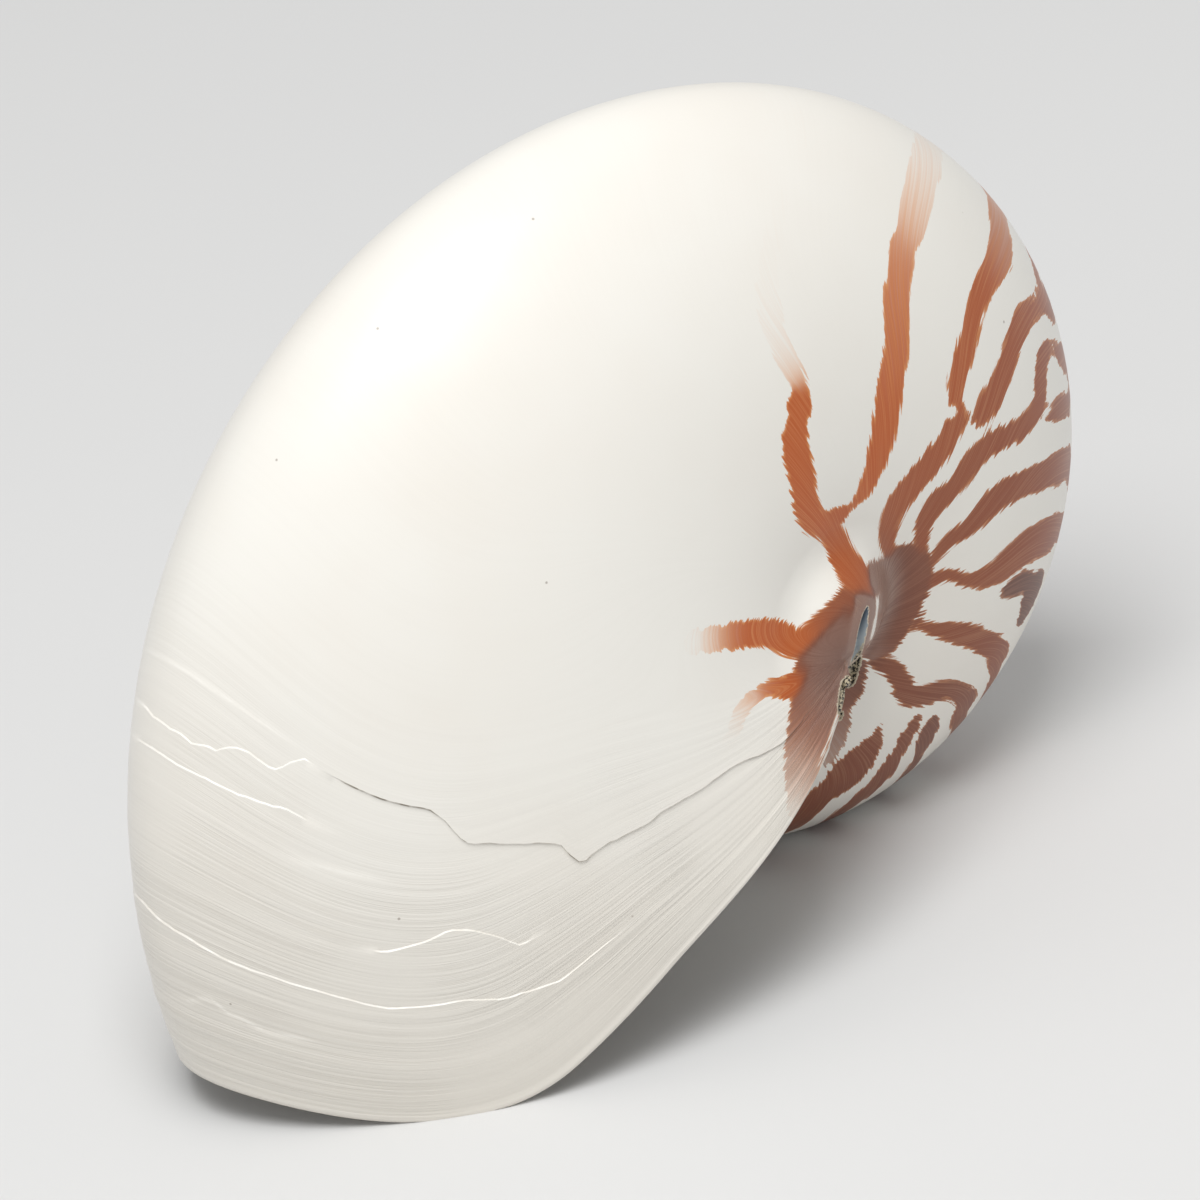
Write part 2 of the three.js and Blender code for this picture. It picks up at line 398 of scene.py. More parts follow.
# %% Rows of the outside
STRIPED_STEP = 1.0  # degrees between two rows where the stripes are
STRIPES_END = -200
PLAIN_STEP = 2.2
FINE_ROW_STEP = 0.5
LAST_ROWS = 10  # from the last crack to the lip
WHORL_START = -330
TENON_LENGTH = 4
TENON_SHRINK = 0.9
striped_growths = np.arange(WHORL_START, STRIPES_END, STRIPED_STEP)
plain_growths = np.arange(STRIPES_END, CRACKS_START, PLAIN_STEP)
outer_rows = [np.full(len(ACROSS), growth) for growth in (*striped_growths, *plain_growths)]
fences = [np.full(len(ACROSS), float(CRACKS_START))] + guides + [np.full(len(ACROSS), float(CRACKS_END))]
fences[-1] = np.maximum(fences[-1], guides[-1] + CRACK_GAP)
for number, (older, newer) in enumerate(zip(fences, fences[1:])):
    start = older + (STEP_ROWS if number else 0)
    end = newer - (STEP_ROWS if number < len(guides) else 0)
    count = max(2, round(float(np.percentile(newer - older, 75)) / FINE_ROW_STEP))
    outer_rows += [start + (end - start) * t for t in np.linspace(0, 1, count + 1)]
ahead = lip_ahead(SHARE)
LIP_WALL = 1.2 * MM
NEAREST_RIM = 10 * MM  # the rim is measured as if it were never nearer to the axis
axis_distance = np.maximum(whorl_radius(ahead) * np.interp(SHARE, FINE_SHARE, FINE_OUT), NEAREST_RIM)
rim = np.degrees(LIP_WALL / 2 / axis_distance)  # degrees that the lip's round edge takes up
last = outer_rows[-1]
outer_rows += [last + (-rim - last) * t for t in np.linspace(0, 1, LAST_ROWS + 1)[1:]]
print(len(outer_rows), "rows from", WHORL_START, "degrees to the lip")

# %% [markdown]
# The lip is a thin rounded edge. Behind it the wall grows to its full thickness within a finger's width.
# The septum is a bowl that bulges away from the opening, so its rows shrink by the cosine of an angle while
# they move back by its sine, which draws a quarter of an ellipse.

# %% Rows of the lip, the inside and the septum
SKIN = 0.25 * MM  # the surface lies this far inside the spiral, so that its relief stays in the solid's box
WALL = 1.8 * MM
WALL_GROWS = 20  # degrees back from the lip where the wall has its full thickness
BEND_START = -90
SEPTUM_BEARING = -150
SEPTUM_DOME = 15
SIPHUNCLE_RADIUS = 1.2 * MM
SIPHUNCLE_DEPTH = 6 * MM
LIP_ROWS = 7
INNER_STEP = 5
DOME_ROWS = 14
DOME_END = 86  # degrees, just short of the dome's middle
START_BEND = 40  # degrees over which the rows take on the outline of the growth lines


def outer_row(growth):
    """Points and growths of one row of the outside."""
    bend = smoothstep(growth, WHORL_START, WHORL_START + START_BEND)
    turned = growth + bend * ahead
    return skin(turned, SKIN - relief(turned - ahead)), turned - ahead


def round_hole(bearing):
    """A ring round the siphuncle, with its columns in the order of the section's."""
    round_angle = 2 * math.pi * ACROSS / ACROSS_END
    out = SIPHUNCLE_PLACE * whorl_radius(bearing) - SIPHUNCLE_RADIUS * np.cos(round_angle)
    return place(np.full(len(ACROSS), bearing), out, -SIPHUNCLE_RADIUS * np.sin(round_angle))


def last_whorl_rows():
    """All rows of the sock as points, growths and whether the row is on the pearly inside."""
    planar = np.full(len(ACROSS), float(WHORL_START))
    tenon = planar - TENON_LENGTH
    rows = [(skin(tenon, shrink=size), tenon, 0) for size in (0, TENON_SHRINK)]
    rows += [(*outer_row(growth), 0) for growth in outer_rows]
    for tilt in np.linspace(-90, 90, LIP_ROWS + 2)[1:-1]:
        growth = rim * (math.cos(math.radians(tilt)) - 1)
        inset = SKIN + LIP_WALL / 2 * (1 + math.sin(math.radians(tilt)))
        rows.append((skin(growth + ahead, inset), growth, int(tilt > 0)))
    for part in np.linspace(0, 1, round(-SEPTUM_BEARING / INNER_STEP) + 1)[:-1]:
        bearing = -rim + (SEPTUM_BEARING + rim) * part
        wall = SKIN + LIP_WALL + (WALL - LIP_WALL) * smoothstep(-bearing, 0, WALL_GROWS)
        rows.append((skin(bearing + smoothstep(bearing, BEND_START, 0) * ahead, wall), bearing, 1))
    for tilt in np.linspace(0, DOME_END, DOME_ROWS):
        back = SEPTUM_DOME * math.sin(math.radians(tilt))
        turned = np.full(len(ACROSS), SEPTUM_BEARING - back)
        rows.append((skin(turned, WALL, math.cos(math.radians(tilt))), turned, 1))
    middle = SEPTUM_BEARING - SEPTUM_DOME
    depth = math.degrees(SIPHUNCLE_DEPTH / (SIPHUNCLE_PLACE * whorl_radius(middle)))
    rows += [(round_hole(bearing), planar * 0 + middle, 1) for bearing in (middle - 1, middle - depth)]
    end = round_hole(middle - depth)
    rows.append((end * 0 + end.mean(0), planar * 0 + middle, 1))
    return rows


rows = last_whorl_rows()
print(len(rows), "rows in all,", len(rows) * (len(ACROSS) - 1), "faces")

# %% [markdown]
# Each corner of the grid also keeps its growth and its place across the section, as a UV map. The patterns
# of the shell read that map, so they follow the growth lines without any picture.

# %% Sew the grid into a skin
UV_GROWTH = 100  # degrees of growth to one unit of the UV map
SEWN_WITHIN = 1e-7  # metres


def wrap(name, rows):
    """A closed skin from rows of points: a grid, its vertices moved, its seam and its two ends sewn up."""
    columns = len(ACROSS) - 1
    sheet = bmesh.new()
    bmesh.ops.create_grid(sheet, x_segments=columns, y_segments=len(rows) - 1, size=0.5)
    spots = [(round((v.co.y + 0.5) * (len(rows) - 1)), round((v.co.x + 0.5) * columns))
             for v in sheet.verts]
    chart = sheet.loops.layers.uv.new("growth")
    for face in sheet.faces:
        inside = [rows[spots[corner.vert.index][0]][2] for corner in face.loops]
        face.material_index = min(inside)
        face.smooth = True
        for corner in face.loops:
            row, column = spots[corner.vert.index]
            corner[chart].uv = (rows[row][1][column] / UV_GROWTH, ACROSS[column])
    for vertex, (row, column) in zip(sheet.verts, spots):
        vertex.co = rows[row][0][column]
    bmesh.ops.remove_doubles(sheet, verts=sheet.verts, dist=SEWN_WITHIN)
    bmesh.ops.recalc_face_normals(sheet, faces=sheet.faces)
    mesh = bpy.data.meshes.new(name)
    sheet.to_mesh(mesh)
    print(name, len(sheet.faces), "faces, volume", round(sheet.calc_volume(signed=True) * 1e6, 1), "cm3",
          "open edges", sum(len(e.link_faces) != 2 for e in sheet.edges))
    sheet.free()
    piece = bpy.data.objects.new(name, mesh)
    bpy.context.scene.collection.objects.link(piece)
    return piece


shell = wrap("shell", rows)

# %% [markdown]
# ## The inner coil and the callus
# The turn before the last is the shell's heart: its back is the floor of the body chamber, and its side is
# the striped coil beside the opening. It is wrapped the same way, and stops a little slimmer inside the last
# turn. On each side the animal closed the pit with a callus. A boss plugs the pit here, and the next step
# gives it its smooth surface. The three skins cross each other, and a Boolean modifier joins them to one,
# because the shell grew in one piece. The boss is joined first, so that the pit's thin walls are gone before
# the coil meets them.

# %% Inner coil, callus and join
COIL_START = -540
COIL_FINE = -425  # from here the coil shows in the opening
COIL_STEP = 6.0  # degrees between two of its rows
COIL_FINE_STEP = 1.5
CALLUS_RADIUS = 7.5 * MM
CALLUS_HALF_LENGTH = 24 * MM
CALLUS_BLUNTNESS = 3  # 2 is an ellipsoid, and a higher power has a flatter end
CALLUS_MERIDIANS, CALLUS_RINGS = 72, 48
ON_CALLUS = 9  # marks the callus in the UV map until it gets its own growth


def coil_rows():
    level = np.zeros(len(ACROSS))
    rows = [(skin(level + COIL_START, SKIN, 0), level + COIL_START, 0)]
    hidden = np.arange(COIL_START, COIL_FINE, COIL_STEP)
    seen = np.arange(COIL_FINE, WHORL_START, COIL_FINE_STEP)
    for bearing in (*hidden, *seen):
        turned = level + bearing
        rows.append((skin(turned, SKIN - relief(turned - ahead)), turned - ahead, 0))
    for size in (TENON_SHRINK, 0):
        rows.append((skin(level + WHORL_START + TENON_LENGTH, shrink=size), turned - ahead, 0))
    return rows


coil = wrap("coil", coil_rows())
boss = bmesh.new()
bmesh.ops.create_uvsphere(boss, u_segments=CALLUS_MERIDIANS, v_segments=CALLUS_RINGS, radius=1)
for vertex in boss.verts:
    round_out = math.hypot(vertex.co.x, vertex.co.y)
    along = math.copysign(abs(vertex.co.z) ** (2 / CALLUS_BLUNTNESS), vertex.co.z)
    turned = Vector((vertex.co.x * CALLUS_RADIUS, along * CALLUS_HALF_LENGTH, vertex.co.y * CALLUS_RADIUS))
    vertex.co = AXIS + turned
boss_chart = boss.loops.layers.uv.new("growth")
for face in boss.faces:
    face.smooth = True
    for corner in face.loops:
        corner[boss_chart].uv = (ON_CALLUS, 0)
bmesh.ops.recalc_face_normals(boss, faces=boss.faces)
callus = bpy.data.objects.new("callus", bpy.data.meshes.new("callus"))
boss.to_mesh(callus.data)
boss.free()
bpy.context.scene.collection.objects.link(callus)
for part in (callus, coil):
    joining = shell.modifiers.new(part.name, "BOOLEAN")
    joining.operation = "UNION"
    joining.solver = "EXACT"
    joining.object = part
joined = shell.evaluated_get(bpy.context.evaluated_depsgraph_get())
shell_mesh = bpy.data.meshes.new_from_object(joined, preserve_all_data_layers=True,
                                             depsgraph=bpy.context.evaluated_depsgraph_get())
shell.modifiers.clear()
shell.data = shell_mesh
for part in (coil, callus):
    bpy.data.objects.remove(part)
print("joined", len(shell_mesh.polygons), "faces")

# %% [markdown]
# Lines read off the picture are rough, so two helpers make them usable: one cuts their corners to bends, and
# the other takes places along them at an even spacing. They serve the slit below and the stripes after it.

# %% Smooth lines
def cut_corners(line, times=2):
    """A polyline with each corner cut to a smooth bend."""
    for _ in range(times):
        quarter = line[:-1] * 0.75 + line[1:] * 0.25
        three = line[:-1] * 0.25 + line[1:] * 0.75
        bends = np.stack([quarter, three], 1).reshape(-1, line.shape[1])
        line = np.concatenate([line[:1], bends, line[-1:]])
    return line


def evenly(line, spacing):
    """Places along a line of columns x, y and more, at an even spacing of x and y."""
    length = np.concatenate([[0], np.cumsum(np.hypot(*np.diff(line[:, :2], axis=0).T))])
    at = np.linspace(0, length[-1], max(2, round(length[-1] / spacing) + 1))
    return np.stack([np.interp(at, length, column) for column in line.T], 1)


def axis_distance_of(point):
    return math.hypot(point.x - AXIS.x, point.z - AXIS.z)


print("a square corner cut twice has", len(cut_corners(np.array([(0, 0), (1, 0), (1, 1)], float))), "points")

# %% [markdown]
# The boss meets the turns in a crease, which the real callus doesn't have: it was laid on like glaze. So the
# vertices round the axis are raised to a smooth film. Its height is known along a ring, and a sum of waves
# that die away towards the middle, as they do on a soap film, fills the ring. The film never lies below the
# turns, and where it meets them the two flow together. A little melting does the rest.
# The Boolean leaves faces with many corners where the skins cross, and each is split round a middle vertex.

# %% Film over the callus
SLIVER = 1e-5  # metres: a shorter edge is taken out
GLAZE_REACH = 14 * MM  # from the axis to where the glaze thins out
GLAZE_FULL = 8 * MM
GLAZE_DEPTH = 9 * MM  # from the middle plane
GLAZE_BULGE = 7 * MM
GLAZE_SOFTNESS = 1.2 * MM  # height over which the film flows into the turns
RING_PLACES = 180
RING_WAVES = 5
MELT_TIMES = 25


def many_cornered(sheet):
    return [face for face in sheet.faces if len(face.verts) > 4]


def glaze_height(sheet_tree):
    """The height of a smooth film inside a ring round the axis, from the surface's height on the ring."""
    turns = 2 * math.pi * np.arange(RING_PLACES) / RING_PLACES
    starts = np.stack([AXIS.x + GLAZE_REACH * np.cos(turns), np.full(RING_PLACES, -LIP_RADIUS),
                       AXIS.z + GLAZE_REACH * np.sin(turns)], 1)
    ring = np.array([-sheet_tree.ray_cast(Vector(start), Vector((0, 1, 0)))[0].y for start in starts])
    waves = np.fft.rfft(ring)[:RING_WAVES + 1] / RING_PLACES

    def height(point):
        out = min(axis_distance_of(point) / GLAZE_REACH, 1)
        turn = math.atan2(point.z - AXIS.z, point.x - AXIS.x)
        film = waves[0].real + 2 * sum(
            out ** n * (waves[n] * complex(math.cos(n * turn), math.sin(n * turn))).real
            for n in range(1, RING_WAVES + 1))
        return film + GLAZE_BULGE * (1 - out ** 2) ** 2

    return height


def melt(sheet, inside, times):
    """Draw vertices towards the middle of their neighbours, again and again."""
    neighbours = [[edge.other_vert(vertex).index for edge in vertex.link_edges] for vertex in inside]
    counts = np.array([len(some) for some in neighbours])
    starts = np.cumsum(counts) - counts
    beside_them = np.concatenate(neighbours)
    own = np.array([vertex.index for vertex in inside])
    now = np.array([tuple(vertex.co) for vertex in sheet.verts])
    for _ in range(times):
        middles = np.add.reduceat(now[beside_them], starts) / counts[:, None]
        now[own] += (middles - now[own]) / 2
    for vertex, spot in zip(inside, now[own]):
        vertex.co = spot


worn = bmesh.new()
worn.from_mesh(shell_mesh)
bmesh.ops.dissolve_degenerate(worn, edges=worn.edges, dist=SLIVER)
bmesh.ops.poke(worn, faces=many_cornered(worn))
worn.verts.index_update()
height_of = glaze_height(BVHTree.FromBMesh(worn))
glazed = [vertex for vertex in worn.verts
          if axis_distance_of(vertex.co) < GLAZE_REACH and abs(vertex.co.y) > GLAZE_DEPTH
          and not any(face.material_index for face in vertex.link_faces)]
for vertex in glazed:
    share = float(smoothstep(axis_distance_of(vertex.co), GLAZE_REACH, GLAZE_FULL))
    above = (height_of(vertex.co) - abs(vertex.co.y)) / GLAZE_SOFTNESS
    vertex.co.y += math.copysign(math.log1p(math.exp(above)) * GLAZE_SOFTNESS * share, vertex.co.y)
melt(worn, glazed, MELT_TIMES)
print(len(glazed), "vertices glazed")

# %% [markdown]
# What is left of the pit is a narrow slit in the callus. Sculpting it by hand would be one way. Here its line
# is read off the picture with its width, each vertex learns how deep it lies inside, the faces along it are
# split finer, and then its vertices sink in. The far side gets its mirror image.

# %% Slit in the callus
SLIT = [(868, 608, 3), (866, 615, 9), (864, 627, 16), (860, 645, 17), (856, 660, 15), (851, 675, 14),
        (846, 690, 12), (842, 705, 8), (840, 718, 4)]  # x, y and width in pixels
SLIT_SPACING = 2  # pixels
SLIT_ZONE = 24 * MM  # from the axis
SLIT_SINKS = 0.9 * MM
SLIT_BRINK = (-0.1, 0.6)  # mm inside the slit's edge over which its floor goes down
FINE_BESIDE_SLIT = 1.0  # mm
FAR_FROM_SLIT = -4  # mm, kept for every vertex outside the zone
PIXEL_SIZE = CAMERA_DISTANCE * SENSOR / LENS / PICTURE
shell_tree = BVHTree.FromBMesh(worn)
slit_line = evenly(cut_corners(np.array(SLIT, float)), SLIT_SPACING)
near_slit = on_shell(slit_line[:, :2])
slit_points = np.concatenate([near_slit, near_slit * (1, -1, 1)])
slit_halves = np.tile(slit_line[:, 2] * PIXEL_SIZE / 2, 2)


def slit_depth(point):
    """How deep a point lies inside the slit, in mm."""
    return float((slit_halves - np.sqrt(((slit_points - np.array(point)) ** 2).sum(1))).max()) / MM


beside = {v for v in worn.verts
          if axis_distance_of(v.co) < SLIT_ZONE and slit_depth(v.co) > -FINE_BESIDE_SLIT}
split = [edge for edge in worn.edges if edge.verts[0] in beside and edge.verts[1] in beside]
bmesh.ops.subdivide_edges(worn, edges=split, cuts=1, use_grid_fill=True)
worn.normal_update()
slit_layer = worn.verts.layers.float.new("slit")
sunk = []
for vertex in worn.verts:
    in_zone = axis_distance_of(vertex.co) < SLIT_ZONE
    vertex[slit_layer] = slit_depth(vertex.co) if in_zone else FAR_FROM_SLIT
    sunk.append((vertex, vertex.normal * float(smoothstep(vertex[slit_layer], *SLIT_BRINK)) * SLIT_SINKS))
for vertex, sink in sunk:
    vertex.co -= sink
print(len(beside), "vertices beside the slit")

# %% [markdown]
# The shell rests on three small worn places. Everything that would reach below the table is pressed flat, and
# the mesh's open edges are counted, because each face has to be part of one closed skin.

# %% Worn flats and a check
SHARP_FROM = math.radians(38)
for vertex in worn.verts:
    vertex.co.z = max(vertex.co.z, 0)
bmesh.ops.triangulate(worn, faces=many_cornered(worn))
loose = sum(len(edge.link_faces) != 2 for edge in worn.edges)
triangles = sum(len(face.verts) - 2 for face in worn.faces)
worn.to_mesh(shell_mesh)
worn.free()
shell_mesh.set_sharp_from_angle(angle=SHARP_FROM)
print(triangles, "triangles,", loose, "open edges")

# %% [markdown]
# The growth lines need one more number. On the flank they don't run straight out from the pit but sweep
# forward, most of all close to it, and on the last part they bend to the outline of the lip. A second UV map
# holds growth with this sweep taken off, so that a pattern on it follows the lines. The callus had no growth
# of its own and takes the bearing round the axis, so its lines spread like a fan.

# %% Chart of the growth lines
LINE_SWEEP = 13.0  # degrees
SWEEP_START = 0.05  # share of the radius
SWEEP_DIES = (-80, -35)  # growth over which the sweep gives way to the lip's outline
corner_count = len(shell_mesh.loops)
corner_vertex = np.empty(corner_count, int)
shell_mesh.loops.foreach_get("vertex_index", corner_vertex)
spots = np.empty(len(shell_mesh.vertices) * 3)
shell_mesh.vertices.foreach_get("co", spots)
spots = spots.reshape(-1, 3)
chart = np.empty(corner_count * 2)
shell_mesh.uv_layers["growth"].data.foreach_get("uv", chart)
chart = chart.reshape(-1, 2)
at_corner = spots[corner_vertex]
turn_angle = np.degrees(np.arctan2(at_corner[:, 2] - AXIS.z, at_corner[:, 0] - AXIS.x))
fan = chart[:, 0] > ON_CALLUS / 2
chart[fan, 0] = (((turn_angle - LIP_BEARING) % 360 - 360) - UMBILICAL_REACH)[fan] / UV_GROWTH
chart[fan, 1] = np.where(at_corner[:, 1] < 0, 0, 2)[fan]
shell_mesh.uv_layers["growth"].data.foreach_set("uv", chart.ravel())
corner_growth, corner_across = chart[:, 0] * UV_GROWTH, chart[:, 1]
corner_share = np.where(corner_across > 1, 2 - corner_across, corner_across).clip(0, 1)
sweep = LINE_SWEEP / (np.interp(corner_share, FINE_SHARE, FINE_OUT) + SWEEP_START)
sweep *= 1 - smoothstep(corner_growth, *SWEEP_DIES)
lines = np.stack([(corner_growth + sweep) / UV_GROWTH, corner_across], 1)
shell_mesh.uv_layers.new(name="lines").data.foreach_set("uv", lines.ravel())
vertex_growth, vertex_across = np.zeros(len(spots)), np.zeros(len(spots))
vertex_growth[corner_vertex], vertex_across[corner_vertex] = corner_growth, corner_across
print(int(fan.sum()), "corners lie on the callus")

# %% [markdown]
# ## The stripes
# The young shell is banded. Each band runs from the pit to the outer edge along the growth lines, because the
# mantle laid its colour down along the lip, and it zigzags and forks where the pigment cells moved. They
# could be noise, but their forms are what one knows this shell by, so each is a listed line of pixels with
# its width and strength. Its corners are cut to smooth bends, and it is carried onto the shell as growth and
# place.

# %% Lines of the stripes
STRIPES = {
    # tint from orange (0) to mauve (1), then x, y, width in pixels and strength
    "first": (0.10, [
        (791, 168, 12, 0.0), (764, 275, 18, 0.06), (772, 325, 20, 0.12), (791, 367, 18, 0.30),
        (803, 388, 14, 0.7), (800, 402, 22, 1), (797, 420, 20, 1), (795, 440, 22, 1), (796, 455, 27, 1),
        (801, 470, 26, 1), (804, 487, 23, 1), (806, 505, 26, 1), (813, 521, 27, 1), (828, 529, 25, 1),
        (838, 545, 24, 1), (845, 560, 26, 1), (854, 573, 30, 1), (866, 584, 26, 1),
    ]),
    "first link": (0.15, [
        (826, 519, 16, 1), (840, 517, 14, 1), (848, 509, 7, 0.9), (859, 499, 6, 0.8),
    ]),
    "second": (0.08, [
        (930, 142, 28, 0.18), (922, 185, 30, 0.35), (911, 228, 27, 0.55), (901, 250, 24, 0.72),
        (897, 305, 24, 0.78), (897, 355, 23, 0.82), (890, 384, 25, 0.85), (887, 415, 24, 0.9),
        (880, 452, 22, 0.95), (871, 476, 17, 1), (863, 494, 12, 1),
    ]),
    "third": (0.30, [
        (996, 192, 14, 0.6), (1000, 215, 22, 0.7), (1002, 245, 24, 0.75), (997, 262, 27, 0.8),
        (985, 281, 24, 0.9), (976, 305, 18, 0.95), (971, 330, 18, 0.95), (965, 355, 20, 1),
        (955, 383, 17, 1), (955, 400, 13, 1), (963, 411, 8, 1),
    ]),
    "third below": (0.45, [
        (968, 415, 7, 1), (958, 425, 17, 1), (951, 432, 20, 1), (944, 446, 20, 1), (929, 466, 21, 1),
        (914, 482, 21, 1), (898, 503, 20, 1), (890, 520, 18, 1), (886, 540, 16, 1), (891, 556, 14, 1),
    ]),
    "fourth": (0.50, [
        (1032, 258, 9, 0.9), (1037, 276, 13, 0.9), (1045, 297, 16, 0.9), (1036, 308, 20, 1),
        (1024, 318, 22, 1), (1017, 333, 18, 1), (1011, 352, 18, 1), (1004, 375, 19, 1),
        (994, 395, 22, 1), (984, 411, 20, 1), (976, 420, 12, 1), (968, 416, 6, 1),
    ]),
    "fourth branch": (0.6, [
        (1040, 300, 16, 0.9), (1050, 308, 16, 0.9), (1061, 322, 14, 0.9),
    ]),
    "fifth": (0.60, [
        (1069, 370, 16, 1), (1062, 355, 16, 1), (1051, 347, 17, 1), (1042, 360, 16, 1),
        (1040, 380, 15, 1), (1041, 400, 14, 1), (1031, 420, 18, 1), (1015, 433, 20, 1),
        (998, 440, 21, 1), (984, 449, 20, 1), (972, 462, 20, 1), (962, 478, 18, 1), (950, 492, 18, 1),
        (936, 503, 20, 1), (927, 515, 18, 1), (922, 532, 15, 1), (921, 552, 12, 1),
    ]),
    "fifth blob": (0.65, [
        (1072, 402, 25, 1), (1061, 407, 21, 1), (1051, 414, 13, 1), (1043, 416, 8, 1),
    ]),
    "sixth": (0.65, [
        (1068, 462, 29, 1), (1050, 472, 27, 1), (1030, 481, 25, 1), (1005, 492, 24, 1),
        (990, 504, 22, 1), (977, 519, 18, 1), (962, 531, 15, 1), (948, 541, 13, 1), (940, 551, 12, 1),
        (932, 563, 9, 1),
    ]),
    "seventh": (0.65, [
        (1054, 532, 29, 1), (1040, 540, 29, 1), (1025, 549, 27, 1), (1010, 561, 25, 1),
        (996, 572, 21, 1), (980, 579, 17, 1), (965, 580, 14, 1), (950, 574, 12, 1), (939, 577, 13, 1),
        (931, 582, 9, 1),
    ]),
    # the eighth stripe lies on the shell's shaded right edge, and its full mauve is partly painted shade
    "eighth": (1.0, [
        (1003, 594, 8, 1), (1013, 587, 17, 1), (1027, 581, 24, 1), (1034, 590, 27, 1),
        (1030, 603, 24, 1), (1024, 614, 14, 1),
    ]),
    "ninth fork": (0.75, [
        (923, 613, 4, 1), (918, 621, 8, 1), (913, 627, 7, 1),
    ]),
    "ninth": (0.70, [
        (917, 625, 8, 1), (928, 627, 12, 1), (940, 630, 16, 1), (955, 632, 20, 1), (970, 636, 24, 1),
        (985, 641, 27, 1), (997, 650, 29, 1), (999, 663, 20, 1),
    ]),
    "tenth": (0.80, [
        (871, 662, 8, 1), (882, 664, 16, 1), (893, 668, 20, 1), (902, 683, 22, 1), (905, 696, 23, 1),
        (920, 697, 19, 1), (935, 692, 18, 1), (949, 688, 18, 1), (961, 692, 23, 1), (967, 703, 23, 1),
        (960, 718, 14, 1),
    ]),
    "leaf": (0.90, [
        (934, 717, 4, 1), (929, 731, 17, 1), (923, 747, 13, 1), (916, 760, 6, 1),
    ]),
    "eleventh": (0.80, [
        (918, 716, 4, 1), (911, 730, 13, 1), (903, 744, 12, 1), (895, 758, 12, 1), (885, 774, 17, 1),
        (869, 791, 18, 1), (850, 806, 17, 1), (832, 818, 13, 1),
    ]),
    "twelfth": (0.80, [
        (879, 727, 4, 1), (876, 740, 12, 1), (865, 754, 22, 1), (853, 769, 29, 1), (840, 782, 26, 1),
        (826, 793, 21, 1), (808, 809, 20, 1), (795, 823, 17, 1),
    ]),
    "late": (0.03, [
        (693, 642, 20, 0.05), (715, 639, 23, 0.55), (740, 635, 25, 0.85), (765, 632, 26, 1),
        (782, 637, 30, 1), (795, 646, 26, 1), (810, 640, 28, 1), (825, 627, 28, 1), (838, 614, 26, 1),
        (848, 600, 22, 1),
    ]),
    "last": (0.08, [
        (730, 740, 12, 0.05), (741, 712, 12, 0.3), (752, 699, 14, 0.5), (766, 690, 15, 0.8),
        (780, 687, 16, 0.85), (792, 689, 25, 1), (799, 683, 25, 1), (808, 670, 20, 1),
        (824, 655, 18, 1),
    ]),
    "fan": (0.85, [
        (916, 573, 26, 0.9), (893, 582, 50, 0.95), (894, 600, 50, 0.95), (892, 617, 42, 0.95),
        (888, 632, 32, 0.9), (880, 648, 20, 0.8), (872, 660, 8, 0.7),
    ]),
    "fan above": (0.85, [
        (862, 590, 22, 0.9), (880, 575, 34, 0.95), (905, 570, 30, 0.95),
    ]),
    "fan below": (0.70, [
        (848, 600, 22, 0.9), (840, 618, 32, 0.95), (830, 640, 44, 0.95), (822, 668, 46, 0.9),
        (813, 705, 42, 0.85), (806, 738, 38, 0.75), (801, 765, 30, 0.6), (797, 790, 18, 0.45),
        (794, 812, 12, 0.2),
    ]),
    "slit's rim": (0.90, [
        (867, 603, 22, 0.95), (863, 625, 34, 0.95), (857, 650, 32, 0.95), (849, 680, 24, 0.9),
        (843, 704, 14, 0.85),
    ]),
    "beside the slit": (0.88, [
        (887, 586, 26, 0.95), (884, 604, 28, 0.95), (881, 620, 26, 0.95), (877, 635, 22, 0.95),
        (871, 650, 14, 0.9),
    ]),
    "slit's other side": (0.80, [
        (862, 600, 14, 0.95), (858, 618, 16, 0.95), (855, 636, 16, 0.95), (852, 656, 14, 0.95),
    ]),
    "wedge": (0.85, [
        (845, 706, 8, 0.8), (842, 722, 16, 0.75), (836, 742, 18, 0.7), (828, 760, 10, 0.6),
    ]),
}
print(len(STRIPES), "stripes, blobs and links")

# %% [markdown]
# Each line is spaced evenly and carried onto the shell. Where the surface turns away from the camera a stripe
# is wider than it looks, and its width allows for that. A stripe that leaves the view goes on to the outer
# edge, with a small swing of its own.

# %% Stripes on the shell
PIXEL_STEP = 4
WIDER = 1.10  # the frayed edge takes some of a stripe, so it starts a little wider
STEEPEST = 1.8  # how much wider than it looks a stripe may be where the surface turns away
ONWARD = 30  # marks from where a stripe leaves the view to the outer edge
LEAVES_VIEW = 0.72  # a stripe seen as far as this share of the flank is taken on to the outer edge
ONWARD_SWING = 3  # degrees


def surface(growth, across):
    """Points of the smooth spiral from growth and place across the section."""
    share = np.where(across > 1, 2 - across, across)
    turned = growth + lip_ahead(share)
    radius = whorl_radius(turned)
    width = radius * np.interp(share, FINE_SHARE, FINE_WIDTH)
    out = radius * np.interp(share, FINE_SHARE, FINE_OUT)
    return place(turned, out, np.where(across > 1, width, -width))


